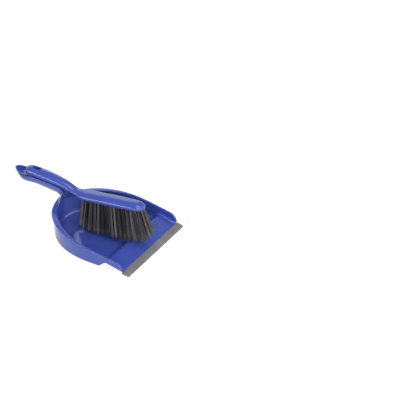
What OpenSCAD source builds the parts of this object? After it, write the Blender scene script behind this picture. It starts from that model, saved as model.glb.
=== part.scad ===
// Dust pan and brush set: a moulded pan with a rubber lip, and a hand brush whose
// handle lies in the open channel of the pan handle.
// Millimetres. X runs along the set, handle end at -X, lip at +X. Z is up. The set
// stands on Z = 0, and the origin is under the middle of its overall box.
// In the profiles below, "behind the lip" is the distance from the front edge of the
// rubber lip towards the handle end.

/* [Pan] */
// Overall length, front of the lip to the end of the pan handle
set_length = 356; // [340:1:372]
// Width over the rim of the pan at its widest
pan_w = 220; // [200:1:240]
// Front of the lip to the rear of the pan rim
pan_l = 243; // [236:1:250]
// Width of the pan at its front edge
front_w = 215; // [196:1:226]
// Wall thickness of the pan
wall_t = 2.2; // [1.8:0.1:2.6]
// Width of the flange that stands out from the wall at the rear
flange_over = 3.5; // [3:0.5:5]
// Width of the ledge by which the rim stands inward at the rear
ledge_w = 6; // [0:0.5:7]
// Height of the rim above the ground line, carried forward to the lip
rim_front_h = 19; // [17:0.5:22]
// Height of the ramp's crest above the ground
crest_h = 14.7; // [12:0.1:16]
// Distance of the ramp's crest behind the lip
crest_back = 55; // [50:1:60]
// Distance behind the lip at which the deep part of the tray begins
step_back = 74; // [72:1:80]

/* [Pan handle] */
// Outer half width of the handle channel
channel_hw = 17; // [16:0.5:19]
// Height of the channel's underside where it leaves the pan
channel_z = 67.5; // [66:0.5:70]
// Rise of the channel towards its end, per millimetre
channel_rise = 0.113; // [0.09:0.001:0.12]
// Outer depth of the channel behind the pan
channel_depth = 23.6; // [22:0.2:25]
// Radius of the hanging hole in the end of the handle
hang_r = 5; // [3:0.5:5.5]

/* [Rubber lip] */
// Width of the rubber lip, front to back
lip_l = 16.4; // [14:0.2:18]
// Thickness of the lip at its back edge
lip_t = 3.2; // [3:0.1:3.6]

/* [Brush] */
// Pitch of the tufts along the brush
tuft_pitch = 9.8; // [9.6:0.1:10]
// Tufts in each row
tuft_count = 15; // [13:1:15]
// Distance between rows where the tufts leave the block
row_pitch = 8.5; // [8:0.5:9]
// Radius of the tuft holes
tuft_r = 2.4; // [2:0.1:2.5]
// Depth of the tuft holes
hole_deep = 7; // [6:0.5:7.5]
// Free length of the filaments at the rear
trim_l = 66; // [60:1:67]

/* [Hidden] */
rows = ["near", "middle", "far"];
function pad2(n) = n < 10 ? str("0", n) : str(n);
function tuft_name(row, i) = str("tuft_", row, "_", pad2(i + 1));
TUFTS = [for (row = rows) for (i = [0:tuft_count - 1]) tuft_name(row, i)];
ANCHORS = [for (row = rows) str("anchors_", row)];

pan_colour = [0.17, 0.22, 0.62];
lip_colour = [0.4, 0.4, 0.42];
filament_colour = [0.1, 0.1, 0.12];
wire_colour = [0.7, 0.7, 0.72];

// ---------- general functions ----------

function mix(a, b, t) = a + (b - a) * t;
function clamp01(t) = min(1, max(0, t));
// eased step, flat at both ends
function ease(t) = let (c = clamp01(t)) c * c * (3 - 2 * c);
function unit(v) = v / norm(v);
// the x coordinate of a place a given distance behind the lip
function at_back(d) = set_length / 2 - d;

// Smooth curve through rows of a table whose first column is the key
function hermite(p0, p1, m0, m1, t) =
    (2 * pow(t, 3) - 3 * t * t + 1) * p0 + (pow(t, 3) - 2 * t * t + t) * m0
    + (3 * t * t - 2 * pow(t, 3)) * p1 + (pow(t, 3) - t * t) * m1;
function segment(table, key, i = 0) =
    i >= len(table) - 2 || key <= table[i + 1][0] ? i : segment(table, key, i + 1);
function slope(table, i, col) =
    let (a = max(0, i - 1), b = min(len(table) - 1, i + 1))
    (table[b][col] - table[a][col]) / (table[b][0] - table[a][0]);
function curve(table, key, col) =
    let (
        i = segment(table, key),
        span = table[i + 1][0] - table[i][0],
        t = clamp01((key - table[i][0]) / span)
    )
    hermite(table[i][col], table[i + 1][col],
            slope(table, i, col) * span, slope(table, i + 1, col) * span, t);

// Two triangles for each four-sided field of a grid of points
function field(a, b, c, d) = [[a, b, c], [a, c, d]];

// Closed skin over a row of planar rings that all have the same number of points
module skin(rings) {
    n = len(rings[0]);
    m = len(rings);
    sides = [for (i = [0:m - 2]) for (j = [0:n - 1])
        let (k = (j + 1) % n)
        each field(i * n + j, i * n + k, (i + 1) * n + k, (i + 1) * n + j)];
    first = [for (j = [n - 1:-1:0]) j];
    last = [for (j = [0:n - 1]) (m - 1) * n + j];
    polyhedron(points = [for (r = rings) each r], faces = concat(sides, [first, last]));
}

// ---------- pan tray ----------

half_w = pan_w / 2;
widest_back = 105;
oval_l = pan_l - widest_back;
corner_back = 38;
floor_h = wall_t;
crest_flat = 5;
tongue_end = 8.5;
tongue_t = 1.0;
tongue_down = 0.6;
tongue_side = 8;
lip_back_h = 5.2;
lip_front_h = 1.2;

// height of the top of the tray floor, behind the lip
function tray_floor(d) =
    d >= step_back ? floor_h
    : d >= crest_back + crest_flat
        ? mix(crest_h - 0.8, floor_h, (d - crest_back - crest_flat) / (step_back - crest_back - crest_flat))
    : d >= crest_back ? mix(crest_h, crest_h - 0.8, (d - crest_back) / crest_flat)
    : mix(lip_back_h, crest_h, (d - lip_l) / (crest_back - lip_l));

// height of the rim along the side, before the front corner is rounded off
function side_rim(d) = rim_front_h + 0.2 * d - 0.00025 * d * d;
corner_r = corner_back - lip_l;
corner_stub = 1.2;
function rim_h(d) =
    d >= corner_back ? side_rim(d)
    : mix(lip_back_h + corner_stub, side_rim(corner_back),
          sqrt(max(0, 1 - pow((corner_back - d) / corner_r, 2))));

// half width over the rim along the straight sides
function side_hw(d) = half_w - (half_w - front_w / 2) * pow((widest_back - d) / (widest_back - lip_l), 2);

// Stations from the front of the near side to the middle of the rear
corner_steps = 8;
oval_angles = concat([for (a = [0:3:72]) a], [for (a = [75:1.25:90]) a]);
side_stations = concat(
    [lip_l],
    [for (i = [1:corner_steps]) corner_back - corner_r * cos(90 * i / corner_steps)],
    [46, crest_back, crest_back + crest_flat, 67, step_back, step_back + 4, 90]);
// each station: distance behind the lip, half width, inward normal (x, y)
function side_station(d) = [d, side_hw(d), [0, 1]];
function oval_station(a) =
    [widest_back + oval_l * sin(a), half_w * cos(a),
     unit([sin(a) / oval_l, cos(a) / half_w])];
stations = concat(
    [for (d = side_stations) side_station(d)],
    [for (a = oval_angles) oval_station(a)]);

// Where the rim meets the handle channel its inner edge climbs and leans forward to
// become the side walls of the channel, and its outer edge stays nearly level
neck_hw = channel_hw - 3;
neck_reach = 16;
neck_z = 84;
neck_outer_rise = 4;
neck_outer_reach = 34;
neck_forward = 9;
// down the back of the climb: [part of the way to the outer edge, part of the climb]
neck_back = [[0.1, 0.55], [0.3, 0.22], [0.62, 0.04]];
function neck(st) = st[0] > widest_back ? 1 - ease((st[1] - neck_hw) / neck_reach) : 0;
function rim_out(st) =
    rim_h(st[0]) + (st[0] > widest_back ? neck_outer_rise * (1 - ease(st[1] / neck_outer_reach)) : 0);
function rim_in(st) = mix(rim_out(st), neck_z, neck(st));

// Section of the wall. It is fully grown where it stands this high above the floor.
full_h = 12;
foot_r = 1;
foot_grow = 6.5;
foot_full_h = 22;
foot_step = 22.5;
skirt_r = 1;
skirt_grow = 3;
rim_over_front = 2;
rim_over_grow_l = 110;
rim_soft = 0.4;
rim_drop = 1.9;
ledge_start = 108;
ledge_grow_l = 110;
ledge_deep = 7;
ledge_under = 3.3;
draft_least = 0.1;
draft_per_mm = 0.02;
draft_full_h = 45;

// Profile of the wall at a station, from the foot of the inner wall over the rim to
// the underside: [inward offset, height] for each point
function wall_profile(st) =
    let (
        d = st[0],
        low = tray_floor(d),
        rim = rim_out(st),
        crest = rim_in(st),
        h = rim - low,
        s = clamp01(h / full_h),
        over = mix(rim_over_front, flange_over, ease((d - corner_back) / rim_over_grow_l)),
        face = over + wall_t + 1.5 * rim_soft,
        edge = face + ledge_w * ease((d - ledge_start) / ledge_grow_l),
        back = edge - wall_t,
        draft = draft_least + draft_per_mm * min(h, draft_full_h),
        r_in = foot_r + foot_grow * clamp01(h / foot_full_h),
        r_out = skirt_r + skirt_grow * s,
        under = low - wall_t,
        flange_low = rim - wall_t
    )
    concat(
        [for (a = [0:foot_step:90]) [face + draft + r_in * (1 - sin(a)), low + r_in * (1 - cos(a)) * s]],
        [
            [face + draft * 0.2, mix(low, rim - ledge_deep, s)],
            [mix(face, edge, 0.75), rim - ledge_under * s],
            [edge, crest - 3 * rim_soft * s],
            [edge - rim_soft, crest - rim_soft * s],
            [edge - 2.5 * rim_soft, crest]
        ],
        [for (p = neck_back) [back - back * p[0], mix(rim, crest, p[1])]],
        [
            [3 * rim_soft, rim - rim_soft * s],
            [rim_soft, rim - 2.2 * rim_soft * s],
            [0, rim - rim_soft - 3.4 * rim_soft * s],
            [0.2 * rim_soft, flange_low - rim_drop * s],
            [3.5 * rim_soft, flange_low - rim_drop * s],
            [4 * rim_soft, flange_low - rim_soft * s],
            [over, flange_low - 1.7 * rim_soft * s],
            [over + draft * 0.6, under + r_out * s],
            [over + draft * 0.6 + r_out * 0.3, under + r_out * 0.3 * s],
            [over + draft * 0.6 + r_out, under]
        ]);
function wall_point(st, p, side) =
    let (
        climb = max(0.1, rim_in(st) - rim_out(st)),
        lean = neck(st) * neck_forward * clamp01((p[1] - rim_out(st)) / climb),
        d = st[0] - st[2][0] * p[0] - lean,
        y = st[1] - st[2][1] * p[0]
    )
    [at_back(d), side * max(0, y), p[1]];

// Thin plate in front of the ramp, which the rubber lip grips
lip_fall = (lip_back_h - lip_front_h) / lip_l;
tongue_top = lip_back_h - tongue_down;
tongue_fall = lip_fall * (lip_l - tongue_end);
tongue_hw = front_w / 2 - tongue_side;

module tray() {
    n = len(stations);
    k = len(wall_profile(stations[0]));
    near = [for (st = stations) [for (p = wall_profile(st)) wall_point(st, p, -1)]];
    far = [for (i = [n - 2:-1:0]) [for (p = wall_profile(stations[i])) wall_point(stations[i], p, 1)]];
    grid = concat(near, far);
    m = len(grid);
    wall = [for (i = [0:m - 2]) for (j = [0:k - 2])
        each field(i * k + j, i * k + j + 1, (i + 1) * k + j + 1, (i + 1) * k + j)];
    // floor and underside: strips between the near and the far foot of the wall
    top = [for (i = [0:n - 2]) let (o = m - 1 - i)
        each i == n - 2 ? [[i * k, (i + 1) * k, o * k]]
            : field(i * k, (i + 1) * k, (o - 1) * k, o * k)];
    bottom = [for (i = [0:n - 2]) let (o = m - 1 - i, e = k - 1)
        each i == n - 2 ? [[o * k + e, (i + 1) * k + e, i * k + e]]
            : field(o * k + e, (o - 1) * k + e, (i + 1) * k + e, i * k + e)];
    // the two cheeks of the front, the frame round the root of the tongue, and the tongue
    near_cheek = [for (j = [k - 1:-1:0]) j];
    far_cheek = [for (j = [0:k - 1]) (m - 1) * k + j];
    frame = [0, (m - 1) * k, m * k - 1, k - 1];
    root = [for (j = [0:3]) m * k + j];
    tip = [for (j = [4:7]) m * k + j];
    around = [for (j = [0:3]) let (u = (j + 1) % 4)
        each [[frame[j], frame[u], root[u], root[j]], [root[j], root[u], tip[u], tip[j]]]];
    tongue = [for (at = [[lip_l, tongue_top], [tongue_end, tongue_top - tongue_fall]])
        for (c = [[-1, 0], [1, 0], [1, tongue_t], [-1, tongue_t]])
            [at_back(at[0]), c[0] * tongue_hw, at[1] - c[1]]];
    polyhedron(
        points = concat([for (r = grid) each r], tongue),
        faces = concat(wall, top, bottom, [near_cheek, far_cheek], around, [tip]));
}

// ---------- pan handle ----------

// distance behind the lip, half width, extra depth, height of the edge above the channel line
scoop_start = 292;
handle_table = [
    [222, channel_hw, -14, channel_depth - 4.3],
    [225, channel_hw, -5, channel_depth - 3.6],
    [228, channel_hw, 3.5, channel_depth - 2.8],
    [231, channel_hw, 6.8, channel_depth - 1.8],
    [236, channel_hw, 3.3, channel_depth - 0.5],
    [240, channel_hw, 0.5, channel_depth],
    [244, channel_hw, 0, channel_depth],
    [scoop_start, channel_hw, 0, channel_depth - 2.1],
    [306, channel_hw + 1.5, 1.2, channel_depth - 3.6],
    [318, channel_hw + 3, 2, channel_depth - 7.2],
    [330, channel_hw + 1, 2.2, channel_depth - 8.8],
    [341, channel_hw - 5, 0.4, channel_depth - 5],
    [350, channel_hw - 11, -2.5, channel_depth - 3.8],
    [set_length, 1.2, -9, channel_depth - 6]];
function channel_line(d) = channel_z + channel_rise * (d - pan_l);
handle_keys = concat([222, 223.5, 225, 226.5, 228, 229.5, 231, 233.5, 236, 238, 240, 242],
                     [for (d = [244:12:scoop_start - 12]) d], [for (d = [scoop_start:6:336]) d],
                     [340, 344, 347, 350, 352, 354, 355.3, set_length]);
u_steps = 16;
least_hw = 0.6;
least_depth = 0.5;
// Half round channel section: from the near top edge round the bottom to the far one.
// The key is the row of the table that it takes its shape from.
function u_ring(d, key, inset, floor_up, top) =
    let (
        hw = max(least_hw, curve(handle_table, key, 1) - inset),
        low = channel_line(d) - curve(handle_table, key, 2) + floor_up,
        edge = channel_line(d) + curve(handle_table, key, 3) + top,
        depth = max(least_depth, edge - low)
    )
    [for (i = [0:u_steps])
        let (a = 180 * i / u_steps) [at_back(d), -hw * cos(a), edge - depth * sin(a)]];

module channel_outside() {
    skin([for (d = handle_keys) u_ring(d, d, 0, 0, 0)]);
}

// The hollow of the channel, carried on forward through the rear wall of the tray
hollow_root = 212;
hollow_key = 231;
hollow_end = 351;
hollow_over = 1;
module channel_hollow() {
    rest = [for (d = handle_keys) if (d > hollow_key && d < hollow_end) d];
    skin([for (d = concat([hollow_root, hollow_key], rest))
        u_ring(d, max(d, hollow_key), wall_t, wall_t, hollow_over)]);
}

hang_back = 322;
module pan() {
    color(pan_colour) difference() {
        union() {
            tray();
            channel_outside();
        }
        channel_hollow();
        translate([at_back(hang_back), 0, channel_line(hang_back) - 8])
            cylinder(r = hang_r, h = 14, $fn = 48);
    }
}

// ---------- rubber lip ----------

lip_chamfer = 2;
module rubber_lip() {
    profile = [
        [lip_l, lip_back_h],
        [1.2, lip_front_h + lip_fall * 1.2],
        [0.3, 0.9],
        [0, 0.4],
        [0, 0],
        [3, 0],
        [lip_l, lip_back_h - lip_t],
        [lip_l, tongue_top - tongue_t],
        [tongue_end, tongue_top - tongue_t - tongue_fall],
        [tongue_end, tongue_top - tongue_fall],
        [lip_l, tongue_top]];
    side = front_w / 2;
    plan = [
        [at_back(lip_l), -side],
        [at_back(lip_chamfer), -side],
        [at_back(0), lip_chamfer - side],
        [at_back(0), side - lip_chamfer],
        [at_back(lip_chamfer), side],
        [at_back(lip_l), side]];
    color(lip_colour) intersection() {
        translate([0, side, 0]) rotate([90, 0, 0])
            linear_extrude(height = front_w)
                polygon([for (p = profile) [at_back(p[0]), p[1]]]);
        linear_extrude(height = lip_back_h + 1) polygon(plan);
    }
}

// ---------- brush body ----------

head_h = 75.3;
head_key = 178;
head_rise = 0.115;
head_tilt = atan(head_rise);
// height of the flat underside of the brush head
function head_under(d) = head_h + head_rise * (head_key - d);

// distance behind the lip, crown height, underside height, half width,
// part of the height below the widest place, squareness of the lower half
brush_front = 29;
brush_end = 326;
nose_l = 17;
butt_l = 13;
brush_table = [
    [brush_front, 102.5, head_under(brush_front), 14.6, 0.2, 1],
    [48, 104.3, head_under(48), 15.6, 0.2, 1],
    [80, 102, head_under(80), 16.2, 0.2, 1],
    [120, 97.7, head_under(120), 16.4, 0.2, 1],
    [160, 92.8, head_under(160), 16, 0.2, 1],
    [176, 90.6, head_under(176), 15, 0.2, 1],
    [186, 90, head_under(186) - 0.2, 12.8, 0.3, 0.6],
    [195, 89.4, 74.9, 10.4, 0.45, 0.1],
    [204, 91.8, 76, 10, 0.5, 0],
    [216, 96.8, 77.6, 11, 0.5, 0],
    [230, 101.2, 79.2, 12, 0.5, 0],
    [252, 105.8, 81.8, 13, 0.5, 0],
    [280, 109.2, 84.9, 13.4, 0.5, 0],
    [300, 110.6, 87, 13.2, 0.5, 0],
    [314, 110.4, 89, 12.9, 0.5, 0],
    [brush_end, 108.5, 91, 12.5, 0.5, 0]];
function nose(d) = d < brush_front + nose_l
    ? sqrt(max(0, 1 - pow((brush_front + nose_l - d) / nose_l, 2))) : 1;
function butt(d) = d > brush_end - butt_l
    ? sqrt(max(0, 1 - pow((d - brush_end + butt_l) / butt_l, 2))) : 1;
brush_keys = concat(
    [for (a = [4, 12, 22, 34, 46, 60, 75]) brush_front + nose_l * (1 - cos(a))],
    [for (d = [brush_front + nose_l:8:180]) d],
    [for (d = [184:5:brush_end - butt_l]) d],
    [for (a = [15, 30, 44, 56, 68, 78, 86]) brush_end - butt_l * (1 - sin(a))]);
brush_steps = 20;
function brush_ring(d) =
    let (
        cap = nose(d) * butt(d),
        crown0 = curve(brush_table, d, 1),
        low0 = curve(brush_table, d, 2),
        hw = max(least_hw, curve(brush_table, d, 3) * cap),
        belly = low0 + (crown0 - low0) * curve(brush_table, d, 4),
        crown = belly + (crown0 - belly) * pow(cap, 0.8),
        low = d > 200 ? belly - (belly - low0) * pow(cap, 0.8) : low0,
        square = clamp01(curve(brush_table, d, 5)),
        e = mix(1, 0.5, square)
    )
    [for (i = [0:brush_steps - 1])
        let (a = -360 * i / brush_steps, c = cos(a), s = sin(a))
        s >= 0
            ? [at_back(d), -hw * sign(c) * pow(abs(c), 0.9), belly + (crown - belly) * pow(s, 0.9)]
            : [at_back(d), -hw * sign(c) * pow(abs(c), mix(0.9, 0.3, square)),
               max(low, belly - (belly - low) * pow(-s, e) * mix(1, 1.25, square))]];

hang_slot_back = 298;
hang_slot_r = 4.5;
hang_slot_l = 20;
module brush_slot() {
    half = hang_slot_l / 2 - hang_slot_r;
    translate([at_back(hang_slot_back), 0, 70]) {
        for (side = [-1, 1])
            translate([side * half, 0, 0]) cylinder(r = hang_slot_r, h = 60, $fn = 48);
        translate([-half, -hang_slot_r, 0]) cube([2 * half, 2 * hang_slot_r, 60]);
    }
}

// place of a tuft: middle of its hole on the underside of the head
tuft_first = 39;
function tuft_back(i) = tuft_first + i * tuft_pitch * cos(head_tilt);
function row_y(row) = row == "near" ? -row_pitch : row == "far" ? row_pitch : 0;
module at_tuft(row, i) {
    translate([at_back(tuft_back(i)), row_y(row), head_under(tuft_back(i))])
        rotate([0, -head_tilt, 0]) children();
}

module brush_body() {
    color(pan_colour) difference() {
        skin([for (d = brush_keys) brush_ring(d)]);
        brush_slot();
        for (row = rows) for (i = [0:tuft_count - 1])
            at_tuft(row, i) translate([0, 0, -4]) cylinder(r = tuft_r, h = hole_deep + 4, $fn = 24);
    }
}

// ---------- tufts and their anchors ----------

anchor_w = 4;
anchor_t = 0.4;
anchor_h = 1.6;
module anchors(row) {
    color(wire_colour)
        for (i = [0:tuft_count - 1])
            at_tuft(row, i)
                translate([-anchor_w / 2, -anchor_t / 2, hole_deep - anchor_h])
                    cube([anchor_w, anchor_t, anchor_h]);
}

tuft_gap = 0.1;
tuft_sides = 8;
splay_end = 11;
splay_row = 6.5;
tuft_long = 4.9;
tuft_wide = 6.6;
// One tuft: straight in its hole, then opening out towards its trimmed end
module tuft(row, i) {
    s = 1 - 2 * i / (tuft_count - 1);
    shorter = i == tuft_count - 1 ? 9 : i == tuft_count - 2 ? 3 : 0;
    reach = trim_l + 6 - 7 * s * s * (s + 1) / 2 - shorter;
    lean = tan(splay_end * s);
    side = row_y(row) / row_pitch * tan(splay_row);
    root = hole_deep - anchor_h;
    // distance below the head, half length, half width
    steps = [
        [-root, tuft_r - tuft_gap, tuft_r - tuft_gap],
        [0, tuft_r - tuft_gap, tuft_r - tuft_gap],
        [reach * 0.35, tuft_long * 0.72, tuft_wide * 0.62],
        [reach * 0.75, tuft_long * 0.95, tuft_wide * 0.9],
        [reach, tuft_long, tuft_wide]];
    color(filament_colour) at_tuft(row, i)
        skin([for (p = steps) let (out = max(0, p[0]))
            [for (j = [0:tuft_sides - 1])
                let (a = 360 * (j + 0.5) / tuft_sides)
                [lean * out + p[1] * cos(a), side * out + p[2] * sin(a), -p[0]]]]);
}

pan();
rubber_lip();
brush_body();
for (row = rows) {
    anchors(row);
    for (i = [0:tuft_count - 1])
        tuft(row, i);
}
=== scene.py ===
"""Dust pan and brush set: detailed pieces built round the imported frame.

The shapes below are written in millimetres and made into meshes in metres. The pan, the lip and
the brush body have the CAD source's sizes. The tufts open wider along the brush than the CAD's,
so that neighbours mesh. "d" is always the distance behind the front of the lip.
"""

import math
import random

import bpy
from mathutils import Matrix, Vector


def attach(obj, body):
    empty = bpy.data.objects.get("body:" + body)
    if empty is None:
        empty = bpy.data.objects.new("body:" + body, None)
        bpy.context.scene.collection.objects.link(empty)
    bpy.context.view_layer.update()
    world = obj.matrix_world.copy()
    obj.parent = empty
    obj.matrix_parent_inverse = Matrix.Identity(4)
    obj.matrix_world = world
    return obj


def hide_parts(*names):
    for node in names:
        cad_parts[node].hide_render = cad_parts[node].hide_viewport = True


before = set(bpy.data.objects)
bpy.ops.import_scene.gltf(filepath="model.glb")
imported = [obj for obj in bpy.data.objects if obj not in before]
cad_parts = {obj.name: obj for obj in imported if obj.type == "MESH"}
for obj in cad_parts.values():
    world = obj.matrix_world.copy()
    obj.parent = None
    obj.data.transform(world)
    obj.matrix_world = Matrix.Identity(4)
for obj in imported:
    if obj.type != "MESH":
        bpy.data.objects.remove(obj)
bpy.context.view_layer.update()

MM = 0.001
SEED = 7

# ---------- sizes, in millimetres ----------
SET_LENGTH = 356.0
PAN_W = 220.0
PAN_L = 243.0
FRONT_W = 215.0
WALL_T = 2.2
FLANGE_OVER = 3.5
LEDGE_W = 6.0
RIM_FRONT_H = 19.0
CREST_H = 14.7
CREST_BACK = 55.0
STEP_BACK = 74.0
CHANNEL_HW = 17.0
CHANNEL_Z = 67.5
CHANNEL_RISE = 0.113
CHANNEL_DEPTH = 23.6
HANG_R = 5.0
LIP_L = 16.4
LIP_T = 3.2
TUFT_PITCH = 9.8
TUFT_COUNT = 15
ROW_PITCH = 8.5
TUFT_R = 2.4
HOLE_DEEP = 7.0
TRIM_L = 66.0
ROWS = {"near": -1, "middle": 0, "far": 1}


# ---------- general helpers ----------
def mix(a, b, t):
    return a + (b - a) * t


def clamp01(t):
    return min(1.0, max(0.0, t))


def ease(t):
    c = clamp01(t)
    return c * c * (3 - 2 * c)


def at_back(d):
    return SET_LENGTH / 2 - d


def curve(table, key, col):
    """Smooth curve through the rows of a table whose first column is the key."""
    last = len(table) - 2
    i = 0
    while i < last and key > table[i + 1][0]:
        i += 1

    def slope(k):
        a, b = max(0, k - 1), min(len(table) - 1, k + 1)
        return (table[b][col] - table[a][col]) / (table[b][0] - table[a][0])

    span = table[i + 1][0] - table[i][0]
    t = clamp01((key - table[i][0]) / span)
    p0, p1 = table[i][col], table[i + 1][col]
    m0, m1 = slope(i) * span, slope(i + 1) * span
    t2, t3 = t * t, t * t * t
    return (2 * t3 - 3 * t2 + 1) * p0 + (t3 - 2 * t2 + t) * m0 + (3 * t2 - 2 * t3) * p1 + (t3 - t2) * m1


def steps(start, end, count):
    """count + 1 even steps from start to end."""
    return [mix(start, end, i / count) for i in range(count + 1)]


def stations(spans):
    """Values along several spans, each given as its start, its end and its number of steps."""
    return [value for span in spans for value in steps(*span)]


def make(name, points, faces):
    """A mesh object, shaded smooth, from points in millimetres."""
    mesh = bpy.data.meshes.new(name)
    mesh.from_pydata([(x * MM, y * MM, z * MM) for x, y, z in points], [], faces)
    mesh.update()
    mesh.shade_smooth()
    piece = bpy.data.objects.new(name, mesh)
    bpy.context.scene.collection.objects.link(piece)
    return piece


def skin(name, rings):
    """Closed skin over rings that have the same number of points."""
    n, m = len(rings[0]), len(rings)
    faces = [
        (i * n + j, (i + 1) * n + j, (i + 1) * n + (j + 1) % n, i * n + (j + 1) % n)
        for i in range(m - 1)
        for j in range(n)
    ]
    faces.append(tuple(range(n)))
    faces.append(tuple((m - 1) * n + j for j in reversed(range(n))))
    return make(name, [p for ring in rings for p in ring], faces)


def settle(piece):
    """Makes the piece's modifiers part of its mesh."""
    graph = bpy.context.evaluated_depsgraph_get()
    shape = bpy.data.meshes.new_from_object(piece.evaluated_get(graph))
    piece.modifiers.clear()
    old = piece.data
    piece.data = shape
    bpy.data.meshes.remove(old)


def drop(*pieces):
    """Removes pieces that were only tools, or that have been joined."""
    for piece in pieces:
        mesh = piece.data
        bpy.data.objects.remove(piece)
        bpy.data.meshes.remove(mesh)


def cut(piece, tool):
    """Takes the tool's shape away from the piece."""
    mod = piece.modifiers.new("cut", "BOOLEAN")
    mod.operation = "DIFFERENCE"
    mod.solver = "EXACT"
    mod.object = tool
    settle(piece)


def joined(name, *pieces):
    """One object with the meshes of all the pieces, which may overlap."""
    points, faces = [], []
    for piece in pieces:
        base = len(points)
        points += [v.co / MM for v in piece.data.vertices]
        faces += [[base + i for i in p.vertices] for p in piece.data.polygons]
    drop(*pieces)
    return make(name, points, faces)


SOFTEN_PER_ROUND = 0.5


def mould(piece, voxel, rounds, most_triangles):
    """Turns overlapping solids into one moulded skin with softened edges."""
    remesh = piece.modifiers.new("skin", "REMESH")
    remesh.mode = "VOXEL"
    remesh.voxel_size = voxel * MM
    remesh.use_smooth_shade = True
    soften = piece.modifiers.new("soften", "SMOOTH")
    soften.factor = SOFTEN_PER_ROUND
    soften.iterations = rounds
    settle(piece)
    count = sum(len(p.vertices) - 2 for p in piece.data.polygons)
    if count > most_triangles:
        thin = piece.modifiers.new("thin", "DECIMATE")
        thin.ratio = most_triangles / count
        settle(piece)
    piece.data.shade_smooth()


# ---------- pan tray ----------
HALF_W = PAN_W / 2
WIDEST_BACK = 105.0
OVAL_L = PAN_L - WIDEST_BACK
CORNER_BACK = 38.0
CORNER_R = CORNER_BACK - LIP_L
CORNER_STUB = 1.2
CREST_FLAT = 5.0
CREST_DROP = 0.8
LIP_BACK_H = 5.2
LIP_FRONT_H = 1.2
RIM_SLOPE = 0.2
RIM_BEND = 0.00025


def tray_floor(d):
    """Height of the floor's upper face: the deep tray, the step, the crest and the ramp."""
    if d >= STEP_BACK:
        return WALL_T
    if d >= CREST_BACK + CREST_FLAT:
        down = (d - CREST_BACK - CREST_FLAT) / (STEP_BACK - CREST_BACK - CREST_FLAT)
        return mix(CREST_H - CREST_DROP, WALL_T, down)
    if d >= CREST_BACK:
        return mix(CREST_H, CREST_H - CREST_DROP, (d - CREST_BACK) / CREST_FLAT)
    return mix(LIP_BACK_H, CREST_H, (d - LIP_L) / (CREST_BACK - LIP_L))


def side_rim(d):
    return RIM_FRONT_H + RIM_SLOPE * d - RIM_BEND * d * d


def rim_h(d):
    if d >= CORNER_BACK:
        return side_rim(d)
    arc = math.sqrt(max(0, 1 - ((CORNER_BACK - d) / CORNER_R) ** 2))
    return mix(LIP_BACK_H + CORNER_STUB, side_rim(CORNER_BACK), arc)


def side_hw(d):
    return HALF_W - (HALF_W - FRONT_W / 2) * ((WIDEST_BACK - d) / (WIDEST_BACK - LIP_L)) ** 2


def side_station(d):
    """Place on the outline, as distance behind the lip and half width, and the way out of the tray."""
    return (d, side_hw(d), 0.0, 1.0)


def oval_station(angle):
    a = math.radians(angle)
    nx, ny = math.sin(a) / OVAL_L, math.cos(a) / HALF_W
    size = math.hypot(nx, ny)
    return (WIDEST_BACK + OVAL_L * math.sin(a), HALF_W * math.cos(a), nx / size, ny / size)


# where the inner edge of the rim climbs to the walls of the handle's channel
NECK_HW = CHANNEL_HW - 3
NECK_REACH = 16.0
NECK_Z = 84.0
NECK_OUTER_RISE = 4.0
NECK_OUTER_REACH = 34.0
NECK_FORWARD = 9.0
NECK_BACK_SPAN = 0.7
NECK_BACK_BEND = 2.8


def neck(station):
    """How far the rim has become the neck of the handle, from 0 to 1."""
    return 1 - ease((station[1] - NECK_HW) / NECK_REACH) if station[0] > WIDEST_BACK else 0.0


def rim_out(station):
    rise = NECK_OUTER_RISE * (1 - ease(station[1] / NECK_OUTER_REACH)) if station[0] > WIDEST_BACK else 0
    return rim_h(station[0]) + rise


def rim_in(station):
    return mix(rim_out(station), NECK_Z, neck(station))


FULL_H = 12.0
FOOT_R = 1.0
FOOT_GROW = 6.5
FOOT_FULL_H = 22.0
FOOT_STEPS = 8
SKIRT_R = 1.0
SKIRT_GROW = 3.0
RIM_OVER_FRONT = 2.0
RIM_OVER_GROW_L = 110.0
RIM_SOFT = 0.4
RIM_DROP = 1.9
LEDGE_START = 108.0
LEDGE_GROW_L = 110.0
LEDGE_DEEP = 7.0
LEDGE_UNDER = 3.3
DRAFT_LEAST = 0.1
DRAFT_PER_MM = 0.02
DRAFT_FULL_H = 45.0
DRAFT_TOP = 0.2
DRAFT_OUTSIDE = 0.6
LEDGE_CORBEL = 0.75
CLIMB_START = 0.1
CLIMB_STEPS = 9


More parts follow.
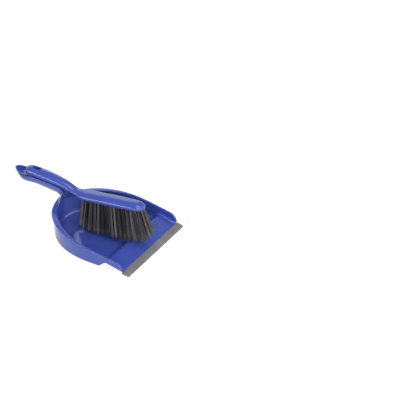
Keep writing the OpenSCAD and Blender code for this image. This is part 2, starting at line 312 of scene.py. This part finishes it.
def wall_profile(station):
    """Points (inward offset, height) from the foot of the inner wall over the rim to the underside.

    Corners of the rim are rounded in parts of RIM_SOFT. Where the wall is low, s draws them together.
    """
    d = station[0]
    low = tray_floor(d)
    rim, crest = rim_out(station), rim_in(station)
    h = rim - low
    s = clamp01(h / FULL_H)
    over = mix(RIM_OVER_FRONT, FLANGE_OVER, ease((d - CORNER_BACK) / RIM_OVER_GROW_L))
    face = over + WALL_T + 1.5 * RIM_SOFT
    edge = face + LEDGE_W * ease((d - LEDGE_START) / LEDGE_GROW_L)
    back = edge - WALL_T
    draft = DRAFT_LEAST + DRAFT_PER_MM * min(h, DRAFT_FULL_H)
    r_in = FOOT_R + FOOT_GROW * clamp01(h / FOOT_FULL_H)
    r_out = SKIRT_R + SKIRT_GROW * s
    under = low - WALL_T
    flange_low = rim - WALL_T
    foot = [
        (face + draft + r_in * (1 - math.sin(a)), low + r_in * (1 - math.cos(a)) * s)
        for a in steps(0, math.pi / 2, FOOT_STEPS)
    ]
    climb = [
        (back * (1 - NECK_BACK_SPAN * t), mix(rim, crest, (1 - t) ** NECK_BACK_BEND))
        for t in steps(CLIMB_START, 1, CLIMB_STEPS)
    ]
    skirt = [
        (over + draft * DRAFT_OUTSIDE + r_out * (1 - math.cos(a)), under + r_out * (1 - math.sin(a)) * s)
        for a in steps(0, math.pi / 2, FOOT_STEPS)
    ]
    return foot + [
        (face + draft * DRAFT_TOP, mix(low, rim - LEDGE_DEEP, s)),
        (mix(face, edge, LEDGE_CORBEL), rim - LEDGE_UNDER * s),
        (edge, crest - 3 * RIM_SOFT * s),
        (edge - RIM_SOFT, crest - RIM_SOFT * s),
        (edge - 2.5 * RIM_SOFT, crest),
    ] + climb + [
        (3 * RIM_SOFT, rim - RIM_SOFT * s),
        (RIM_SOFT, rim - 2.2 * RIM_SOFT * s),
        (0, rim - RIM_SOFT - 3.4 * RIM_SOFT * s),
        (0.2 * RIM_SOFT, flange_low - RIM_DROP * s),
        (3.5 * RIM_SOFT, flange_low - RIM_DROP * s),
        (4 * RIM_SOFT, flange_low - RIM_SOFT * s),
        (over, flange_low - 1.7 * RIM_SOFT * s),
    ] + skirt


LEAST_CLIMB = 0.1


def wall_point(station, p, side):
    """A point of the wall's profile in its place on the near (-1) or the far (1) side."""
    d0, y0, nx, ny = station
    level = rim_out(station)
    climb = max(LEAST_CLIMB, rim_in(station) - level)
    lean = neck(station) * NECK_FORWARD * clamp01((p[1] - level) / climb)
    return (at_back(d0 - nx * p[0] - lean), side * max(0, y0 - ny * p[0]), p[1])


CORNER_STEPS = 20
# start, end and number of steps: along the straight side in millimetres, round the oval in degrees
SIDE_SPANS = [
    (CORNER_BACK + 3, CREST_BACK, 5),
    (CREST_BACK + 2.5, STEP_BACK, 8),
    (STEP_BACK + 3, WIDEST_BACK - 3, 9),
]
OVAL_SPANS = [(0, 66, 66), (66.5, 90, 47)]


def tray():
    """The tray as one closed mesh: a wall round it, and the floor's two faces between its sides."""
    corner = [CORNER_BACK - CORNER_R * math.cos(a) for a in steps(0, math.pi / 2, CORNER_STEPS)]
    outline = [side_station(d) for d in corner + stations(SIDE_SPANS)]
    outline += [oval_station(a) for a in stations(OVAL_SPANS)]
    n = len(outline)
    near = [[wall_point(st, p, -1) for p in wall_profile(st)] for st in outline]
    far = [[wall_point(st, p, 1) for p in wall_profile(st)] for st in reversed(outline[:-1])]
    grid = near + far
    k, m = len(grid[0]), len(grid)
    faces = [
        (i * k + j, (i + 1) * k + j, (i + 1) * k + j + 1, i * k + j + 1)
        for i in range(m - 1)
        for j in range(k - 1)
    ]
    # the floor's upper face joins the first points of both sides, and its underside the last ones
    for i in range(n - 1):
        o = m - 1 - i
        e = k - 1
        if i == n - 2:
            faces.append((i * k, o * k, (i + 1) * k))
            faces.append((o * k + e, i * k + e, (i + 1) * k + e))
        else:
            faces.append((i * k, o * k, (o - 1) * k, (i + 1) * k))
            faces.append((o * k + e, i * k + e, (i + 1) * k + e, (o - 1) * k + e))
    front = tuple(range(k)) + tuple((m - 1) * k + j for j in reversed(range(k)))
    faces.append(front)
    return make("tray", [p for ring in grid for p in ring], faces)


TONGUE_END = 8.5
TONGUE_T = 1.0
TONGUE_DOWN = 0.6
TONGUE_INSET = 8.0
TONGUE_HW = FRONT_W / 2 - TONGUE_INSET
LIP_FALL = (LIP_BACK_H - LIP_FRONT_H) / LIP_L
TONGUE_TOP = LIP_BACK_H - TONGUE_DOWN
TONGUE_FALL = LIP_FALL * (LIP_L - TONGUE_END)
TONGUE_IN_RAMP = 3.0
TONGUE_ROOT = LIP_L + TONGUE_IN_RAMP


def tongue():
    """Thin plate in front of the ramp, which the rubber lip grips."""
    root_top = TONGUE_TOP + LIP_FALL * (TONGUE_ROOT - LIP_L)
    rings = [
        [
            (at_back(d), -TONGUE_HW, top),
            (at_back(d), TONGUE_HW, top),
            (at_back(d), TONGUE_HW, top - TONGUE_T),
            (at_back(d), -TONGUE_HW, top - TONGUE_T),
        ]
        for d, top in ((TONGUE_END, TONGUE_TOP - TONGUE_FALL), (TONGUE_ROOT, root_top))
    ]
    return skin("tongue", rings)


# ---------- pan handle ----------
# distance behind the lip, half width, extra depth, height of the edge above the channel line
SCOOP_START = 292.0
HANDLE = [
    (222, CHANNEL_HW, -14, CHANNEL_DEPTH - 4.3),
    (225, CHANNEL_HW, -5, CHANNEL_DEPTH - 3.6),
    (228, CHANNEL_HW, 3.5, CHANNEL_DEPTH - 2.8),
    (231, CHANNEL_HW, 6.8, CHANNEL_DEPTH - 1.8),
    (236, CHANNEL_HW, 3.3, CHANNEL_DEPTH - 0.5),
    (240, CHANNEL_HW, 0.5, CHANNEL_DEPTH),
    (244, CHANNEL_HW, 0, CHANNEL_DEPTH),
    (SCOOP_START, CHANNEL_HW, 0, CHANNEL_DEPTH - 2.1),
    (306, CHANNEL_HW + 1.5, 1.2, CHANNEL_DEPTH - 3.6),
    (318, CHANNEL_HW + 3, 2, CHANNEL_DEPTH - 7.2),
    (330, CHANNEL_HW + 1, 2.2, CHANNEL_DEPTH - 8.8),
    (341, CHANNEL_HW - 5, 0.4, CHANNEL_DEPTH - 5),
    (350, CHANNEL_HW - 11, -2.5, CHANNEL_DEPTH - 3.8),
    (SET_LENGTH, 1.2, -9, CHANNEL_DEPTH - 6),
]
HANDLE_ROOT = 222.0
HOLLOW_ROOT = 212.0
HOLLOW_KEY = 231.0
HOLLOW_END = 351.0
HOLLOW_OVER = 1.0
HANG_BACK = 322.0
HANG_CUT_DOWN = 8.0
HANG_CUT_H = 14.0
U_STEPS = 48
LEAST_HW = 0.6
LEAST_DEPTH = 0.5
PAN_VOXEL = 0.9
PAN_SOFTEN = 7
PAN_TRIANGLES = 195_000
# start, end and number of steps, in millimetres behind the lip
CHANNEL_SPANS = [
    (HANDLE_ROOT, 246, 48),
    (248, SCOOP_START, 30),
    (SCOOP_START + 1, 350, 58),
    (350.5, SET_LENGTH, 16),
]
HOLLOW_SPANS = [(HOLLOW_KEY, 246, 30), (248, HOLLOW_END - 0.5, 100)]


def channel_line(d):
    return CHANNEL_Z + CHANNEL_RISE * (d - PAN_L)


def u_ring(d, key, inset, floor_up, top):
    """Half round section at d, with the shape that the handle has at key, made smaller or higher."""
    hw = max(LEAST_HW, curve(HANDLE, key, 1) - inset)
    low = channel_line(d) - curve(HANDLE, key, 2) + floor_up
    edge = channel_line(d) + curve(HANDLE, key, 3) + top
    depth = max(LEAST_DEPTH, edge - low)
    turns = steps(0, math.pi, U_STEPS)
    return [(at_back(d), -hw * math.cos(a), edge - depth * math.sin(a)) for a in turns]


def channel_outside():
    return skin("channel", [u_ring(d, d, 0, 0, 0) for d in stations(CHANNEL_SPANS)])


def channel_hollow():
    places = [HOLLOW_ROOT] + stations(HOLLOW_SPANS)
    return skin("hollow", [u_ring(d, max(d, HOLLOW_KEY), WALL_T, WALL_T, HOLLOW_OVER) for d in places])


def pillar(name, x, y, z, radius, height, sides=64):
    rings = [
        [
            (x + radius * math.cos(a), y + radius * math.sin(a), level)
            for a in (2 * math.pi * i / sides for i in range(sides))
        ]
        for level in (z + height, z)
    ]
    return skin(name, rings)


def build_pan():
    body = tray()
    channel = channel_outside()
    hollow = channel_hollow()
    hole_low = channel_line(HANG_BACK) - HANG_CUT_DOWN
    hole = pillar("hole", at_back(HANG_BACK), 0, hole_low, HANG_R, HANG_CUT_H)
    cut(body, hollow)
    cut(channel, hollow)
    cut(channel, hole)
    drop(hollow, hole)
    pan = joined("dust_pan_moulding", body, channel, tongue())
    mould(pan, PAN_VOXEL, PAN_SOFTEN, PAN_TRIANGLES)
    return pan


# ---------- rubber lip ----------
LIP_CHAMFER = 2.0
CHAMFER_STEPS = 4
LIP_NOSE_L = 1.2
LIP_NOSE = [(0.3, 0.9), (0, 0.4), (0, 0)]
LIP_FLAT = 3.0
LIP_MIDDLE_GAP = 4
LIP_STEPS = 50
LIP_BEVEL = 0.25
LIP_BEVEL_ABOVE = 40


def build_lip():
    """A wedge with a groove for the tongue and chamfered ends."""
    outline = [
        (LIP_L, LIP_BACK_H),
        (LIP_NOSE_L, LIP_FRONT_H + LIP_FALL * LIP_NOSE_L),
        *LIP_NOSE,
        (LIP_FLAT, 0),
        (LIP_L, LIP_BACK_H - LIP_T),
        (LIP_L, TONGUE_TOP - TONGUE_T),
        (TONGUE_END, TONGUE_TOP - TONGUE_T - TONGUE_FALL),
        (TONGUE_END, TONGUE_TOP - TONGUE_FALL),
        (LIP_L, TONGUE_TOP),
    ]
    half = FRONT_W / 2
    ends = [half - LIP_CHAMFER + LIP_CHAMFER * i / CHAMFER_STEPS for i in range(CHAMFER_STEPS + 1)]
    middle = steps(-half + LIP_CHAMFER + LIP_MIDDLE_GAP, half - LIP_CHAMFER - LIP_MIDDLE_GAP, LIP_STEPS)
    rings = []
    for y in [-e for e in reversed(ends)] + middle + ends:
        back = max(0, abs(y) - half + LIP_CHAMFER)
        rings.append([(at_back(max(d, back)), y, z) for d, z in outline])
    lip = skin("rubber_lip_strip", rings)
    bevel = lip.modifiers.new("edges", "BEVEL")
    bevel.width = LIP_BEVEL * MM
    bevel.segments = 2
    bevel.limit_method = "ANGLE"
    bevel.angle_limit = math.radians(LIP_BEVEL_ABOVE)
    settle(lip)
    lip.data.shade_smooth()
    return lip


# ---------- brush body ----------
HEAD_H = 75.3
HEAD_KEY = 178.0
HEAD_RISE = 0.115
HEAD_TILT = math.atan(HEAD_RISE)


def head_under(d):
    return HEAD_H + HEAD_RISE * (HEAD_KEY - d)


BRUSH_FRONT = 29.0
BRUSH_END = 326.0
NOSE_L = 17.0
BUTT_L = 13.0
# distance behind the lip, crown height, underside height, half width,
# part of the height below the widest place, squareness of the lower half
BRUSH = [
    (BRUSH_FRONT, 102.5, head_under(BRUSH_FRONT), 14.6, 0.2, 1),
    (48, 104.3, head_under(48), 15.6, 0.2, 1),
    (80, 102, head_under(80), 16.2, 0.2, 1),
    (120, 97.7, head_under(120), 16.4, 0.2, 1),
    (160, 92.8, head_under(160), 16, 0.2, 1),
    (176, 90.6, head_under(176), 15, 0.2, 1),
    (186, 90, head_under(186) - 0.2, 12.8, 0.3, 0.6),
    (195, 89.4, 74.9, 10.4, 0.45, 0.1),
    (204, 91.8, 76, 10, 0.5, 0),
    (216, 96.8, 77.6, 11, 0.5, 0),
    (230, 101.2, 79.2, 12, 0.5, 0),
    (252, 105.8, 81.8, 13, 0.5, 0),
    (280, 109.2, 84.9, 13.4, 0.5, 0),
    (300, 110.6, 87, 13.2, 0.5, 0),
    (314, 110.4, 89, 12.9, 0.5, 0),
    (BRUSH_END, 108.5, 91, 12.5, 0.5, 0),
]
BRUSH_STEPS = 72
BRUSH_LEAST_HW = 0.3
HEAD_END = 200
CAP_POWER = 0.8
ROUND_POWER = 0.9
SQUARE_SIDE_POWER = 0.3
SQUARE_UNDER_POWER = 0.5
SQUARE_UNDER_GROW = 1.25
CAP_STEPS = 24
CAP_GAP = 2
NOSE_FIRST = math.radians(2)
BUTT_LAST = math.radians(88)
BODY_STEPS = 140
SLOT_BACK = 298.0
SLOT_R = 4.5
SLOT_L = 20.0
SLOT_SIDES = 32
SLOT_CUT = (130, 70)
HOLE_BELOW_MOUTH = 4
HOLE_SIDES = 20
BRUSH_VOXEL = 0.6
BRUSH_SOFTEN = 12
BRUSH_TRIANGLES = 150_000


def cap_round(d):
    """Part of the full section that is left at d, where the nose and the end of the handle are round."""
    nose, butt = 1, 1
    if d < BRUSH_FRONT + NOSE_L:
        nose = math.sqrt(max(0, 1 - ((BRUSH_FRONT + NOSE_L - d) / NOSE_L) ** 2))
    if d > BRUSH_END - BUTT_L:
        butt = math.sqrt(max(0, 1 - ((d - BRUSH_END + BUTT_L) / BUTT_L) ** 2))
    return nose * butt


def brush_ring(d):
    """Section of the brush at d: a dome above the widest place, and a flat or round lower half."""
    cap = cap_round(d)
    crown0, low0 = curve(BRUSH, d, 1), curve(BRUSH, d, 2)
    hw = max(BRUSH_LEAST_HW, curve(BRUSH, d, 3) * cap)
    belly = low0 + (crown0 - low0) * curve(BRUSH, d, 4)
    crown = belly + (crown0 - belly) * cap**CAP_POWER
    low = belly - (belly - low0) * cap**CAP_POWER if d > HEAD_END else low0
    square = clamp01(curve(BRUSH, d, 5))
    ring = []
    for i in range(BRUSH_STEPS):
        a = -2 * math.pi * i / BRUSH_STEPS
        c, s = math.cos(a), math.sin(a)
        if s >= 0:
            y = -hw * math.copysign(abs(c) ** ROUND_POWER, c)
            z = belly + (crown - belly) * s**ROUND_POWER
        else:
            grow = mix(1, SQUARE_UNDER_GROW, square)
            y = -hw * math.copysign(abs(c) ** mix(ROUND_POWER, SQUARE_SIDE_POWER, square), c)
            z = max(low, belly - (belly - low) * (-s) ** mix(1, SQUARE_UNDER_POWER, square) * grow)
        ring.append((at_back(d), y, z))
    return ring


TUFT_FIRST = 39


def tuft_back(i):
    return TUFT_FIRST + i * TUFT_PITCH * math.cos(HEAD_TILT)


def tuft_frame(row, i):
    """Places a tuft's own frame: origin at the mouth of its hole, Z up into the head."""
    x, y = at_back(tuft_back(i)), ROW_PITCH * ROWS[row]
    return Matrix.Translation((x, y, head_under(tuft_back(i)))) @ Matrix.Rotation(-HEAD_TILT, 4, "Y")


def hanging_slot():
    """Tool that cuts the slot with round ends through the handle."""
    half = SLOT_L / 2 - SLOT_R
    outline = [
        (
            at_back(SLOT_BACK) + math.copysign(half, math.cos(a)) + SLOT_R * math.cos(a),
            SLOT_R * math.sin(a),
        )
        for a in (2 * math.pi * (i + 0.5) / SLOT_SIDES for i in range(SLOT_SIDES))
    ]
    return skin("slot", [[(x, y, z) for x, y in outline] for z in SLOT_CUT])


def tuft_holes():
    """Tool that cuts the blind holes, one for each tuft."""
    holes = []
    for row in ROWS:
        for i in range(TUFT_COUNT):
            place = tuft_frame(row, i)
            height = HOLE_DEEP + HOLE_BELOW_MOUTH
            hole = pillar("hole", 0, 0, -HOLE_BELOW_MOUTH, TUFT_R, height, HOLE_SIDES)
            points = [place @ (v.co / MM) for v in hole.data.vertices]
            faces = [tuple(p.vertices) for p in hole.data.polygons]
            drop(hole)
            holes.append(make("hole", points, faces))
    return joined("holes", *holes)


def build_brush():
    places = [BRUSH_FRONT + NOSE_L * (1 - math.cos(a)) for a in steps(NOSE_FIRST, math.pi / 2, CAP_STEPS)]
    places += steps(BRUSH_FRONT + NOSE_L + CAP_GAP, BRUSH_END - BUTT_L - CAP_GAP, BODY_STEPS)
    places += [BRUSH_END - BUTT_L * (1 - math.sin(a)) for a in steps(0, BUTT_LAST, CAP_STEPS)]
    body = skin("brush_moulding", [brush_ring(d) for d in places])
    for tool in (hanging_slot, tuft_holes):
        shape = tool()
        cut(body, shape)
        drop(shape)
    mould(body, BRUSH_VOXEL, BRUSH_SOFTEN, BRUSH_TRIANGLES)
    return body


# ---------- tufts ----------
SPLAY_END = 11.0
SPLAY_ROW = 6.5
ANCHOR_H = 1.6
REACH_EXTRA = 6
REACH_FRONT_CUT = 7
REAR_CUT = {TUFT_COUNT - 1: 9, TUFT_COUNT - 2: 3}
# part of the way to the tips, half size along the brush, half size across it
TUFT_SHAPE = [(0, 2.25, 2.25), (0.35, 3.5, 4.1), (0.75, 5.0, 5.9), (1, 5.7, 6.5)]
FILAMENTS = 72
FILAMENT_R = 0.23
FILAMENT_SIDES = 5
FILAMENT_RINGS = 10
CLUMPS = 7
CLUMP_PULL = 0.3
CLUMP_TONE = 0.7
# painted highlight: how much lighter the filaments are painted towards their tips, and how sharply that
# rises at the very ends
TIP_PAINTED_HIGHLIGHT = 0.25
TIP_PAINTED_HIGHLIGHT_POWER = 4
SHADE_POWER = 3
GOLDEN_TURN = 2.399963
# how much one filament differs from the next; TURN is a full turn in radians, to two decimals
TURN = 6.28
START_TURN = 0.3
END_SPREAD = 0.07
TRIM_SPREAD = 0.7
SHORT_PART = 0.12
SHORT_MOST = 3
CRIMP_LEAST, CRIMP_MOST = 0.05, 0.22
CRIMP_L = 2.4
BOW_SPREAD = 0.45


def along(i):
    """Place of a tuft in its row: 1 at the front, -1 at the rear."""
    return 1 - 2 * i / (TUFT_COUNT - 1)


def tuft_reach(i):
    s = along(i)
    return TRIM_L + REACH_EXTRA - REACH_FRONT_CUT * s * s * (s + 1) / 2 - REAR_CUT.get(i, 0)


def disc_point(k, count, turn):
    """Even spread of count points over a disc of radius 1."""
    spread = math.sqrt((k + 0.5) / count)
    return (spread * math.cos(k * GOLDEN_TURN + turn), spread * math.sin(k * GOLDEN_TURN + turn))


def draw_filament(rng, clumps, f, reach):
    """The values of one filament: where it starts and ends in the bundle, its length, waves and shade."""
    u, v = disc_point(f, FILAMENTS, rng.uniform(-START_TURN, START_TURN))
    cu, cv, tone = min(clumps, key=lambda c: math.hypot(c[0] - u, c[1] - v))
    u1 = max(-1, min(1, mix(u, cu, CLUMP_PULL) + rng.gauss(0, END_SPREAD)))
    v1 = max(-1, min(1, mix(v, cv, CLUMP_PULL) + rng.gauss(0, END_SPREAD)))
    long_to = reach - abs(rng.gauss(0, TRIM_SPREAD))
    if rng.random() < SHORT_PART:
        long_to -= rng.uniform(0, SHORT_MOST)
    crimp = rng.uniform(CRIMP_LEAST, CRIMP_MOST)
    phase = rng.uniform(0, TURN)
    turn = rng.uniform(0, TURN)
    bow = rng.gauss(0, BOW_SPREAD)
    shade = mix(rng.random(), tone, CLUMP_TONE) ** SHADE_POWER
    return (u, v), (u1, v1), long_to, crimp, phase, turn, bow, shade


def tube_faces(base, rings, sides):
    """Faces of a closed tube whose first point has the number base."""
    faces = []
    for r in range(rings - 1):
        for q in range(sides):
            a = base + r * sides + q
            b = base + r * sides + (q + 1) % sides
            faces.append((a, a + sides, b + sides, b))
    faces.append(tuple(base + q for q in range(sides)))
    end = base + (rings - 1) * sides
    faces.append(tuple(end + q for q in reversed(range(sides))))
    return faces


def build_tuft(row, i):
    """A bundle of crimped filaments that opens out from its hole."""
    rng = random.Random(f"{SEED} {row} {i}")
    reach = tuft_reach(i)
    lean = math.tan(math.radians(SPLAY_END * along(i)))
    side = ROWS[row] * math.tan(math.radians(SPLAY_ROW))
    place = tuft_frame(row, i)
    points, faces, shades_with_painted_tips = [], [], []
    start_turn = rng.uniform(0, TURN)
    clumps = [disc_point(k, CLUMPS, start_turn) + (rng.random(),) for k in range(CLUMPS)]
    for f in range(FILAMENTS):
        (u, v), (u1, v1), long_to, crimp, phase, turn, bow, shade = draw_filament(rng, clumps, f, reach)
        faces += tube_faces(len(points), FILAMENT_RINGS, FILAMENT_SIDES)
        for r in range(FILAMENT_RINGS):
            out = mix(-HOLE_DEEP + ANCHOR_H, long_to, r / (FILAMENT_RINGS - 1))
            open_t = clamp01(out / reach)
            half_x, half_y = curve(TUFT_SHAPE, open_t, 1), curve(TUFT_SHAPE, open_t, 2)
            uu, vv = mix(u, u1, open_t), mix(v, v1, open_t)
            size = max(1, math.hypot(uu, vv))
            sway = open_t * crimp * math.sin(out / CRIMP_L + phase) + bow * math.sin(math.pi * open_t)
            x = lean * max(0, out) + (half_x - FILAMENT_R) * uu / size + sway * math.cos(turn)
            y = side * max(0, out) + (half_y - FILAMENT_R) * vv / size + sway * math.sin(turn)
            for q in range(FILAMENT_SIDES):
                a = 2 * math.pi * q / FILAMENT_SIDES + phase
                p = Vector((x + FILAMENT_R * math.cos(a), y + FILAMENT_R * math.sin(a), -out))
                points.append(place @ p)
                # painted highlight: the shade rises towards each filament's tip, as if its cut end caught
                # the light
                shades_with_painted_tips.append(min(1, shade + TIP_PAINTED_HIGHLIGHT * open_t**TIP_PAINTED_HIGHLIGHT_POWER))
    piece = make(f"bristles_{row}_{i + 1:02d}", points, faces)
    layer = piece.data.attributes.new("shade", "FLOAT", "POINT")
    layer.data.foreach_set("value", shades_with_painted_tips)
    return piece


# ---------- materials ----------
# noise scales are in waves for each metre, and depths of bumps are in metres
NOISE_LOW, NOISE_HIGH = 0.3, 0.7


def material(name, base, roughness):
    """A new material with its nodes, its links and its one shader."""
    mat = bpy.data.materials.new(name)
    mat.use_nodes = True
    shader = mat.node_tree.nodes["Principled BSDF"]
    shader.inputs["Base Color"].default_value = (*base, 1)
    shader.inputs["Roughness"].default_value = roughness
    return mat, mat.node_tree.nodes, mat.node_tree.links, shader


def object_coords(nodes):
    return nodes.new("ShaderNodeTexCoord").outputs["Object"]


def noise(nodes, links, coords, scale, detail):
    node = nodes.new("ShaderNodeTexNoise")
    node.inputs["Scale"].default_value = scale
    node.inputs["Detail"].default_value = detail
    links.new(coords, node.inputs["Vector"])
    return node.outputs["Fac"]


def ramp(nodes, links, value, low, high):
    """Maps the middle of a noise's values, NOISE_LOW to NOISE_HIGH, to low..high."""
    node = nodes.new("ShaderNodeMapRange")
    node.inputs["From Min"].default_value = NOISE_LOW
    node.inputs["From Max"].default_value = NOISE_HIGH
    node.inputs["To Min"].default_value = low
    node.inputs["To Max"].default_value = high
    links.new(value, node.inputs["Value"])
    return node.outputs["Result"]


def tint(nodes, links, value, dark, light):
    """Mixes two colours by a value from 0 to 1."""
    node = nodes.new("ShaderNodeMix")
    node.data_type = "RGBA"
    node.inputs["A"].default_value = (*dark, 1)
    node.inputs["B"].default_value = (*light, 1)
    links.new(value, node.inputs["Factor"])
    return node.outputs["Result"]


def bump(nodes, links, height, strength, distance, under=None):
    node = nodes.new("ShaderNodeBump")
    node.inputs["Strength"].default_value = strength
    node.inputs["Distance"].default_value = distance
    links.new(height, node.inputs["Height"])
    if under is not None:
        links.new(under, node.inputs["Normal"])
    return node.outputs["Normal"]


def moulded_plastic(name, dark, light, roughness):
    """Glossy polypropylene with faint flow marks in its colour, and fine grain and slight sink."""
    mat, nodes, links, shader = material(name, light, roughness)
    coords = object_coords(nodes)
    clouds = noise(nodes, links, coords, scale=28, detail=4)
    colour = tint(nodes, links, ramp(nodes, links, clouds, 0, 1), dark, light)
    links.new(colour, shader.inputs["Base Color"])
    rub = noise(nodes, links, coords, scale=160, detail=5)
    gloss = ramp(nodes, links, rub, roughness - GLOSS_LESS, roughness + GLOSS_MORE)
    links.new(gloss, shader.inputs["Roughness"])
    waves = noise(nodes, links, coords, scale=22, detail=1)
    sink = bump(nodes, links, waves, strength=0.25, distance=0.0004)
    specks = noise(nodes, links, coords, scale=1900, detail=2)
    grain = bump(nodes, links, specks, strength=0.12, distance=0.00006, under=sink)
    links.new(grain, shader.inputs["Normal"])
    shader.inputs["IOR"].default_value = PLASTIC_IOR
    return mat


def soft_rubber():
    """Matt rubber with a cloudy grey and a fine pebbled surface."""
    mat, nodes, links, shader = material("soft_rubber", RUBBER_PLAIN, roughness=0.62)
    coords = object_coords(nodes)
    clouds = noise(nodes, links, coords, scale=60, detail=5)
    colour = tint(nodes, links, ramp(nodes, links, clouds, 0, 1), RUBBER_DARK, RUBBER_LIGHT)
    links.new(colour, shader.inputs["Base Color"])
    rub = noise(nodes, links, coords, scale=400, detail=3)
    links.new(ramp(nodes, links, rub, low=0.52, high=0.7), shader.inputs["Roughness"])
    pebbles = noise(nodes, links, coords, scale=1500, detail=3)
    skin_bump = bump(nodes, links, pebbles, strength=0.35, distance=0.00012)
    links.new(skin_bump, shader.inputs["Normal"])
    return mat


def bristle_plastic():
    """Black plastic, lighter or darker by the shade that each filament carries, which also holds a
    painted highlight that lightens the filaments towards their tips.
    """
    mat, nodes, links, shader = material("bristle_plastic", BRISTLE_PLAIN, roughness=0.36)
    attribute = nodes.new("ShaderNodeAttribute")
    attribute.attribute_name = "shade"
    colour = tint(nodes, links, attribute.outputs["Fac"], BRISTLE_DARK, BRISTLE_LIGHT)
    links.new(colour, shader.inputs["Base Color"])
    rub = noise(nodes, links, object_coords(nodes), scale=300, detail=2)
    links.new(ramp(nodes, links, rub, low=0.3, high=0.45), shader.inputs["Roughness"])
    return mat


def drawn_wire():
    """Bright wire with uneven gloss."""
    mat, nodes, links, shader = material("drawn_wire", WIRE_GREY, roughness=0.3)
    shader.inputs["Metallic"].default_value = 1.0
    rub = noise(nodes, links, object_coords(nodes), scale=900, detail=3)
    links.new(ramp(nodes, links, rub, low=0.24, high=0.42), shader.inputs["Roughness"])
    return mat


PAN_DARK, PAN_LIGHT = (0.029, 0.05, 0.25), (0.035, 0.06, 0.285)
PAN_ROUGHNESS = 0.14
GLOSS_LESS, GLOSS_MORE = 0.01, 0.02
PLASTIC_IOR = 1.49
RUBBER_PLAIN = (0.16, 0.16, 0.17)
RUBBER_DARK, RUBBER_LIGHT = (0.1, 0.098, 0.105), (0.135, 0.132, 0.14)
BRISTLE_PLAIN = (0.03, 0.03, 0.033)
BRISTLE_DARK, BRISTLE_LIGHT = (0.004, 0.004, 0.006), (0.24, 0.225, 0.25)
WIRE_GREY = (0.62, 0.61, 0.6)

blue = moulded_plastic("blue_plastic", PAN_DARK, PAN_LIGHT, PAN_ROUGHNESS)
rubber = soft_rubber()
bristle = bristle_plastic()
wire = drawn_wire()


def finish_piece(piece, mat, body, slot, *nodes):
    """Gives a piece its material, and puts it in the place of its CAD nodes."""
    piece.data.materials.clear()
    piece.data.materials.append(mat)
    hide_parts(*nodes)
    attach(piece, body)


finish_piece(build_pan(), blue, "dust_pan", "pan_plastic", "pan")
finish_piece(build_lip(), rubber, "dust_pan", "lip_rubber", "rubber_lip")
finish_piece(build_brush(), blue, "hand_brush", "brush_plastic", "brush_body")
for row in ROWS:
    for i in range(TUFT_COUNT):
        finish_piece(build_tuft(row, i), bristle, "hand_brush", "filament", f"tuft_{row}_{i + 1:02d}")
    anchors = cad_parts[f"anchors_{row}"]
    for slot in anchors.material_slots:
        slot.material = wire

# ---------- camera ----------
FOCAL_PX = 1200.0
IMAGE_PX = 416.0
SENSOR_MM = 36.0
CAMERA_AT = Vector((1.2708, -1.7232, 1.4130))
AZIMUTH, ELEVATION, ROLL = math.radians(29.46), math.radians(32.66), math.radians(0.55)
NEAREST, FURTHEST = 0.05, 50

level = math.cos(ELEVATION)
back = Vector((math.sin(AZIMUTH) * level, -math.cos(AZIMUTH) * level, math.sin(ELEVATION)))
right = Vector((math.cos(AZIMUTH), math.sin(AZIMUTH), 0))
above = back.cross(right)
across = right * math.cos(ROLL) + above * math.sin(ROLL)
upright = above * math.cos(ROLL) - right * math.sin(ROLL)
camera = bpy.data.cameras.new("camera")
camera.sensor_width = SENSOR_MM
camera.lens = SENSOR_MM * FOCAL_PX / IMAGE_PX
camera.clip_start, camera.clip_end = NEAREST, FURTHEST
eye = bpy.data.objects.new("camera", camera)
eye.matrix_world = Matrix.Translation(CAMERA_AT) @ Matrix((across, upright, back)).transposed().to_4x4()
bpy.context.scene.collection.objects.link(eye)
bpy.context.scene.camera = eye


# ---------- stage and light ----------
FLOOR_HALF = 4000
FLOOR_DROP = 0.0002
PAPER_GREY = (0.2, 0.2, 0.2)
PAPER_ROUGHNESS = 0.9
PAPER_GLOW = 0.85
WORLD_LIGHT = 0.42
WHITE = (1, 1, 1, 1)
# name, place, the point it faces, width and height, and watts
LIGHTS = [
    ("back_wash", (-2.0, 1.5, 1.39), (0, 0, 0.1), (3.4, 1.64), 23),
    ("top_box", (0.5, -0.3, 2.3), (0, 0, 0.1), (1.4, 1.4), 25),
    ("front_box", (2.2, -1.9, 1.6), (0, 0, 0.05), (2.4, 1.8), 76),
    ("far_box", (2.2, 0.9, 1.3), (0, 0, 0.05), (2.0, 1.5), 30),
    ("side_strip", (-0.8, -1.4, 0.15), (0, 0, 0.1), (1.1, 0.16), 8.5),
    ("key", (1.08, -1.95, 0.75), (0, 0, 0.1), (0.45, 0.4), 7),
]


def area_light(name, at, aim, size, power):
    lamp = bpy.data.lights.new(name, "AREA")
    lamp.shape = "RECTANGLE"
    lamp.size, lamp.size_y = size
    lamp.energy = power
    holder = bpy.data.objects.new(name, lamp)
    holder.location = at
    holder.rotation_euler = (Vector(aim) - Vector(at)).to_track_quat("-Z", "Y").to_euler()
    bpy.context.scene.collection.objects.link(holder)


def stage_floor():
    """A pale sheet that also gives off light, a hair below the object."""
    corners = [(x * FLOOR_HALF, y * FLOOR_HALF, 0) for x, y in ((-1, -1), (1, -1), (1, 1), (-1, 1))]
    floor = make("floor", corners, [(0, 1, 2, 3)])
    floor.location.z = -FLOOR_DROP
    paper, _, _, sheet = material("paper", PAPER_GREY, PAPER_ROUGHNESS)
    sheet.inputs["Emission Color"].default_value = WHITE
    sheet.inputs["Emission Strength"].default_value = PAPER_GLOW
    floor.data.materials.append(paper)


stage_floor()
world = bpy.data.worlds.new("world")
bpy.context.scene.world = world
world.use_nodes = True
world.node_tree.nodes["Background"].inputs["Color"].default_value = WHITE
world.node_tree.nodes["Background"].inputs["Strength"].default_value = WORLD_LIGHT
for light in LIGHTS:
    area_light(*light)
bpy.context.scene.view_settings.view_transform = "Standard"
